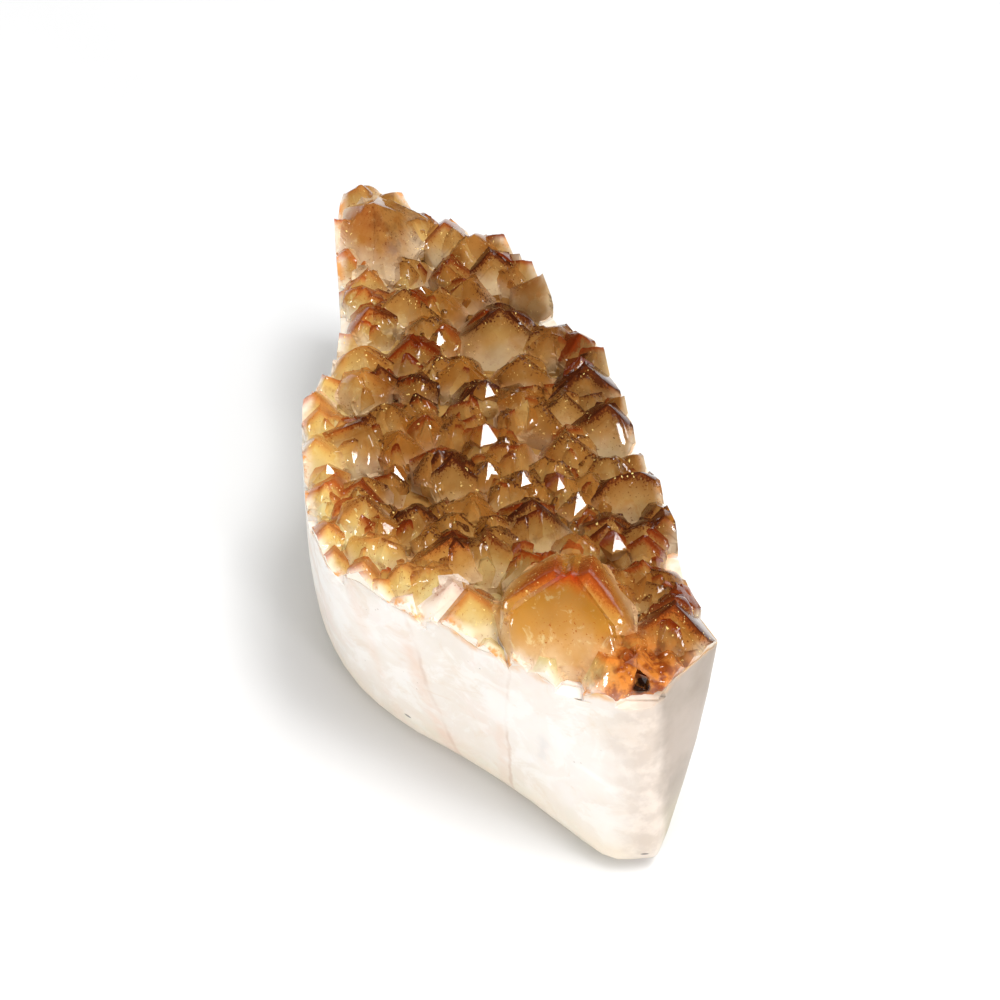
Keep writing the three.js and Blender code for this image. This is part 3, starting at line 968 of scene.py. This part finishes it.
def citrine_iron(m, at, foot):
    """Iron, solid at the crest and in grains further down, and a red blush; and the masks of the
    grains, all specks and the blush."""
    iron = iron_amount(m, at)
    grains = m.ramp(m.scaled(iron, 0.36, m.noise(2400, 3, 0.7)), 0.72, 0.84)
    grains = m.less(grains, 0.45, at.flush)
    stray = m.ramp(m.noise(2300, 2, 0.6), 0.615, 0.685)
    stray = m.times(stray, m.ramp(m.noise(230, 4, 0.65), 0.44, 0.58, 0, 0.9))
    specks = m.most(grains, m.less(stray, 1.0, foot))
    reddened = m.ramp(m.scaled(at.wavy, 0.5, at.crest), 0.2, m.scaled(at.flush, 1.4, 1.3), 1, 0)
    blush = m.times(reddened, m.ramp(at.below, 0.4, 1.4, 1, 0))
    red_tip = m.times(at.flush, m.ramp(m.scaled(at.wavy, 1.2, at.drop), 2.0, 5.5, 1, 0.15))
    red_tip = m.most(red_tip, m.times(at.cap, 0.6))
    blush = m.less(m.times(blush, m.most(m.times(at.warm, 0.8), red_tip)), 0.8, at.milk)
    settled = m.times(iron, m.scaled(at.right, 0.25, 0.5))
    stain = m.mix(at.right, (140, 84, 30), (112, 58, 26))
    m.paint(settled, m.mix(at.gold, stain, (196, 120, 40)))
    red = m.mix(at.gold, (134, 48, 16), (188, 68, 18))
    m.paint(blush, m.mix(at.flush, red, (196, 50, 10)))
    rust = m.mix(at.warm, (76, 36, 16), (118, 46, 12))
    rust = m.mix(m.times(at.gold, 0.6), rust, (176, 82, 24))
    m.paint(specks, rust)
    return grains, specks, blush


def crest_lines(m, at):
    """A dark line on the crests, a fainter one under some, and their mask."""
    line = m.ramp(m.scaled(at.wavy, 0.16, at.crest), 0.05, 0.45, 1, 0)
    off = m.math("ABSOLUTE", m.math("ADD", m.scaled(at.wavy, 0.2, at.crest), -2.0))
    phantom = m.times(m.ramp(off, 0.06, 0.22, 1, 0), m.ramp(at.grain, 0.5, 0.6, 0, 0.35))
    line = m.times(m.most(line, phantom), m.ramp(at.below, 0.8, 2.2, 1, 0))
    drawn = m.ramp(m.scaled(at.share, 0.4, m.noise(300)), 0.45, 0.85, 0, 0.7)
    line = m.times(line, m.most(drawn, m.times(at.cap, 0.9)))
    line = m.less(line, 1.0, m.most(at.wall, m.times(at.gold, 0.4)))
    tone = m.mix(at.gold, (96, 30, 8), (150, 56, 14))
    m.paint(line, m.mix(at.warm, (64, 26, 12), tone))
    return line


def citrine_stains(m, at):
    """Orange stain at the foot and around the pit, and the mask of the pit's dark mouth."""
    seep = m.times(m.ramp(at.rim, 0.4, 2.2, 1, 0), m.ramp(m.noise(230, 4, 0.6), 0.52, 0.62, 0, 0.8))
    m.paint(m.less(seep, 0.8, at.right), (232, 150, 40))
    from_pit = m.vector("DISTANCE", m.place, PIT, "Value")
    stained = m.ramp(m.scaled(m.noise(260, 4, 0.65), 9 * MM, from_pit), 8 * MM, 17 * MM, 0.9, 0)
    stain = m.mix(m.ramp(m.noise(450), 0.4, 0.6), (230, 138, 54), (150, 64, 18))
    m.paint(stained, stain)
    from_spot = m.vector("DISTANCE", m.place, SPOT, "Value")
    m.paint(m.ramp(from_spot, 0.5 * MM, 0.9 * MM, 1, 0), (60, 30, 40))
    mouth = m.ramp(m.scaled(m.noise(700), 1.6 * MM, from_pit), 1.9 * MM, 2.6 * MM, 1, 0)
    m.paint(mouth, (44, 24, 16))
    return mouth


def citrine_material():
    m = Nodes(bpy.data.materials.new("citrine"))
    at = citrine_masks(m)
    citrine_body(m, at)
    cloud = citrine_clouds(m, at)
    foot = milky_foot(m, at)
    grains, specks, blush = citrine_iron(m, at, foot)
    line = crest_lines(m, at)
    mouth = citrine_stains(m, at)
    # golden flakes, painted bright: partly their own colour, partly painted sparkle
    flakes_and_sparkle = m.times(m.ramp(m.noise(1700, 2, 0.5), 0.665, 0.71), m.ramp(m.noise(130), 0.47, 0.58))
    flakes_and_sparkle = m.times(flakes_and_sparkle, m.ramp(at.crest, 1.5, 6.0, 1, 0.3))
    m.paint(flakes_and_sparkle, (255, 226, 140))
    # clearest in the middle, cloudy at the roots, edges and specks and in the tallest point's twins
    clear = m.scaled(at.pale, -0.32, m.scaled(cloud, -0.15, 0.56))
    clear = m.less(clear, 0.8, foot)
    twin = m.times(m.ramp(at.flush, 0, 0.75), m.ramp(at.flush, 0.75, 1, 1, 0))
    clear = m.less(clear, 0.6, twin)
    dark = m.most(specks, m.most(line, mouth))
    dark = m.most(dark, m.most(flakes_and_sparkle, m.times(blush, 0.7)))
    clear = m.less(clear, 0.85, dark)
    rough = m.ramp(m.noise(220), 0.3, 0.7, 0.03, 0.08)
    normal = m.bump(m.noise(300, 4, 0.6), 0.3 * MM, 0.12)
    normal = m.bump(m.noise(1700, 3, 0.7), 0.1 * MM, m.times(grains, 0.6), Normal=normal)
    m.surface(Base_Color=m.colour, Roughness=rough, IOR=QUARTZ_IOR, Transmission_Weight=clear,
              Normal=normal)
    m.volume(ABSORBED, DENSITY)
    return m.owner


# ---- the milky quartz ----
# Healed cracks down the front as planes, along + lean * up = at, all in mm but the lean, with their
# depth of colour; the faint band beside each; and small dark marks and a grey cloud: place in mm and
# stretch.
CRACKS = ((0.12, 37.4, 0.6, 0.26), (-0.035, 47.5, 0.45, 0.34), (-0.1, 6.0, 0.6, 0.2))
BANDS = ((0.12, 36.2, 2.6, 0.6), (-0.035, 46.4, 1.8, 0.35), (0.1, 26.5, 2.2, 0.3))
MARKS = (((28.2, -23.8, 9.3), (0.28, 1, 1)), ((70.4, 2.8, 5.6), (1, 0.4, 1)))
GREY_CLOUD = ((54.8, -10.0, 26.6), (1, 1, 0.3))


def stretched_distance(m, centre, stretch):
    """Distance from a place in mm, shortened along some axes."""
    off = m.vector("SUBTRACT", m.place, Vector(centre) * MM)
    return m.vector("LENGTH", m.vector("MULTIPLY", off, stretch), output="Value")


def slab_body(m, along, up):
    """The slab's colour: white with veils, tan patches and a warm foot, greenish at the far end."""
    clouds = m.ramp(m.noise(45, 4, 0.6), 0.35, 0.65)
    m.colour = m.mix(clouds, (248, 240, 233), (239, 229, 217))
    veils = m.ramp(m.noise(120, 5, 0.7, distortion=0.8), 0.46, 0.58)
    m.paint(m.times(veils, 0.5), (255, 251, 246))
    tan = m.ramp(m.noise(95, 5, 0.7, distortion=1.2), 0.54, 0.68, 0, 0.5)
    m.paint(tan, (232, 214, 194))
    far = m.ramp(m.scaled(m.noise(50), 24 * MM, along), 2 * MM, 22 * MM, 1, 0)
    greenish = m.times(far, m.ramp(m.noise(70), 0.3, 0.7, 0.2, 0.9))
    m.paint(greenish, (228, 227, 214))
    low = m.ramp(m.scaled(m.noise(50), 16 * MM, up), 10 * MM, 26 * MM, 0.75, 0)
    warm = m.mix(m.ramp(m.noise(140, 4), 0.45, 0.6), (243, 226, 198), (232, 222, 194))
    m.paint(low, warm)
    m.paint(m.ramp(m.noise(80), 0.5, 0.8, 0, 0.5), (242, 216, 204))
    # upright streaks and small pits
    upright = m.vector("MULTIPLY", m.place, (1, 1, 0.12))
    streaks = m.times(m.ramp(m.noise(260, 4, 0.65, upright), 0.52, 0.72, 0, 0.45), far)
    m.paint(streaks, (206, 204, 192))
    pits = m.times(m.ramp(m.cells(500), 0.05, 0.12, 1, 0), m.ramp(m.noise(110), 0.58, 0.66, 0, 0.6))
    m.paint(pits, (150, 132, 108))


def end_face_shade(m, along, across, up):
    """Painted shade on the end face beyond the near upright edge: grey, mottled, olive lower down and darker
    towards its far edge, and a lighter painted shade on the corner before it.
    """
    ragged = m.scaled(m.noise(160), 5 * MM, m.scaled(up, 0.05, across))
    end = m.times(m.ramp(ragged, 7.6 * MM, 11.5 * MM), m.ramp(along, 44 * MM, 58 * MM))
    corner = m.times(m.ramp(ragged, -1 * MM, 6 * MM), m.ramp(along, 58 * MM, 66 * MM, 0, 0.8))
    mottled = m.ramp(m.noise(220, 4, 0.6), 0.4, 0.62)
    # lighter painted shade on the corner where the front turns into the end face
    m.paint(corner, m.mix(mottled, (206, 189, 174), (228, 213, 199)))
    face = m.mix(m.ramp(m.noise(80, 4), 0.35, 0.65), (180, 165, 152), (160, 145, 130))
    low = m.ramp(m.scaled(m.noise(60), 14 * MM, up), 12 * MM, 30 * MM, 0.7, 0)
    face = m.mix(low, face, (176, 164, 124))
    face = m.mix(m.ramp(across, 12 * MM, 17 * MM, 0, 0.35), face, (132, 116, 98))
    # painted shade over the end face
    m.paint(end, face)


def seams(m, along, across, up):
    """The healed cracks and the faint bands down the front."""
    wander = m.scaled(m.noise(110, 4, 0.6), 2.4 * MM, m.math("ADD", along, -1.2 * MM))
    in_front = m.ramp(across, -8 * MM, -3 * MM, 1, 0)
    broken = m.times(in_front, m.ramp(m.noise(90), 0.4, 0.58, 0.15, 1))
    for lines, tone in ((BANDS, (238, 206, 184)), (CRACKS, (186, 140, 100))):
        for lean, at, width, depth in lines:
            off = m.math("ABSOLUTE", m.math("ADD", m.scaled(up, lean, wander), -at * MM))
            seam = m.times(m.ramp(off, 0.05 * MM, width * MM, depth, 0), broken)
            m.paint(seam, tone)


def marks_and_stain(m):
    """Small dark marks, a grey cloud, and the orange stain under the crust."""
    for centre, stretch in MARKS:
        mark = m.ramp(stretched_distance(m, centre, stretch), 0.25 * MM, 0.5 * MM, 0.85, 0)
        m.paint(mark, (70, 56, 48))
    cloud = m.scaled(m.noise(400), 2.4 * MM, stretched_distance(m, *GREY_CLOUD))
    m.paint(m.ramp(cloud, 1.0 * MM, 3.0 * MM, 0.45, 0), (214, 212, 210))
    under = m.math("ADD", m.attribute("under"), m.times(m.noise(180, 4, 0.6), 4))
    stain = m.times(m.ramp(under, 1.6, 3.4, 1, 0), m.ramp(m.noise(110), 0.45, 0.62, 0.1, 0.8))
    m.paint(stain, (238, 174, 88))


def milky_material():
    m = Nodes(bpy.data.materials.new("milky_quartz"))
    along, across, up = m.parts(m.place)
    slab_body(m, along, up)
    end_face_shade(m, along, across, up)
    seams(m, along, across, up)
    marks_and_stain(m)
    m.surface(Base_Color=m.colour, Roughness=m.ramp(m.noise(90), 0.3, 0.7, 0.3, 0.45),
              Subsurface_Weight=0.4, Subsurface_Radius=(1.0, 0.85, 0.7), Subsurface_Scale=2 * MM,
              IOR=QUARTZ_IOR, Coat_Weight=0.1, Coat_Roughness=0.2,
              Normal=m.bump(m.noise(60, 2), 0.5 * MM, 0.08))
    return m.owner


for piece, material in ((crust, citrine_material()), (slab, milky_material())):
    piece.data.materials.clear()
    piece.data.materials.append(material)
    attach(piece, "root")
    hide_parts(NODE)


# ---- floor and light ----
SKY_AZIMUTH, SKY_ELEVATION = 144, 75
SKY_SPREAD = (16, 48)  # degrees from the middle of the bright patch to its full and dim parts
SKY_DIM, SKY_BRIGHT = 0.13, 2.0
HORIZON_GLOW, GLOW_HEIGHT = 0.6, (0.06, 0.3)
LAMPS = (  # name, azimuth, elevation, distance, size, power, and whether it is mirrored
    ("key", 143, 76, 0.9, 0.24, 3.4, False),
    ("front", 15, 24, 1.0, 0.5, 1.2, False),
    ("glint_left", 14, 21, 0.9, 0.17, 1.3, True),
    ("glint_right", 137, 15, 0.9, 0.17, 1.2, True),
    ("glint_near", *FLASH_LAMP, 0.13, 1.3, True),
    ("glint_top", 118, 66, 0.9, 0.12, 0.6, True),
)
FLOOR_SIZE = 10


def make_floor():
    bpy.ops.mesh.primitive_plane_add(size=FLOOR_SIZE, location=(0, 0, 0))
    floor = bpy.context.object
    floor.name = "floor"
    m = Nodes(bpy.data.materials.new("floor"))
    m.surface(Base_Color=(0.82, 0.82, 0.82, 1), Roughness=0.8)
    floor.data.materials.append(m.owner)


def make_lamp(name, azimuth, elevation, distance, size, power, glossy):
    """A square area light aimed at the cluster."""
    light = aimed(name, bpy.data.lights.new(name, "AREA"), azimuth, elevation, distance)
    light.data.size = size
    light.data.energy = power
    light.visible_glossy = glossy


def make_sky():
    """A bright patch of sky high on one side, a glow along the horizon, and dim elsewhere; no
    polished face mirrors it."""
    world = bpy.data.worlds.new("studio")
    bpy.context.scene.world = world
    m = Nodes(world, "OutputWorld")
    towards = m.coordinates["Generated"]
    middle = direction(SKY_AZIMUTH, SKY_ELEVATION)
    facing = m.vector("DOT_PRODUCT", towards, middle, "Value")
    full, dim = (math.cos(math.radians(angle)) for angle in SKY_SPREAD)
    patch = m.ramp(facing, dim, full, SKY_DIM, SKY_BRIGHT)
    level = m.math("ABSOLUTE", m.parts(towards)[2])
    glow = m.ramp(level, *GLOW_HEIGHT, HORIZON_GLOW, 0)
    sky = m.add("Background", {"Color": (1, 1, 1, 1), "Strength": m.math("ADD", patch, glow)})
    m.tree.links.new(sky.outputs[0], m.output.inputs["Surface"])
    world.cycles_visibility.glossy = False


make_floor()
make_sky()
for lamp in LAMPS:
    make_lamp(*lamp)
bpy.context.scene.view_settings.view_transform = "Standard"
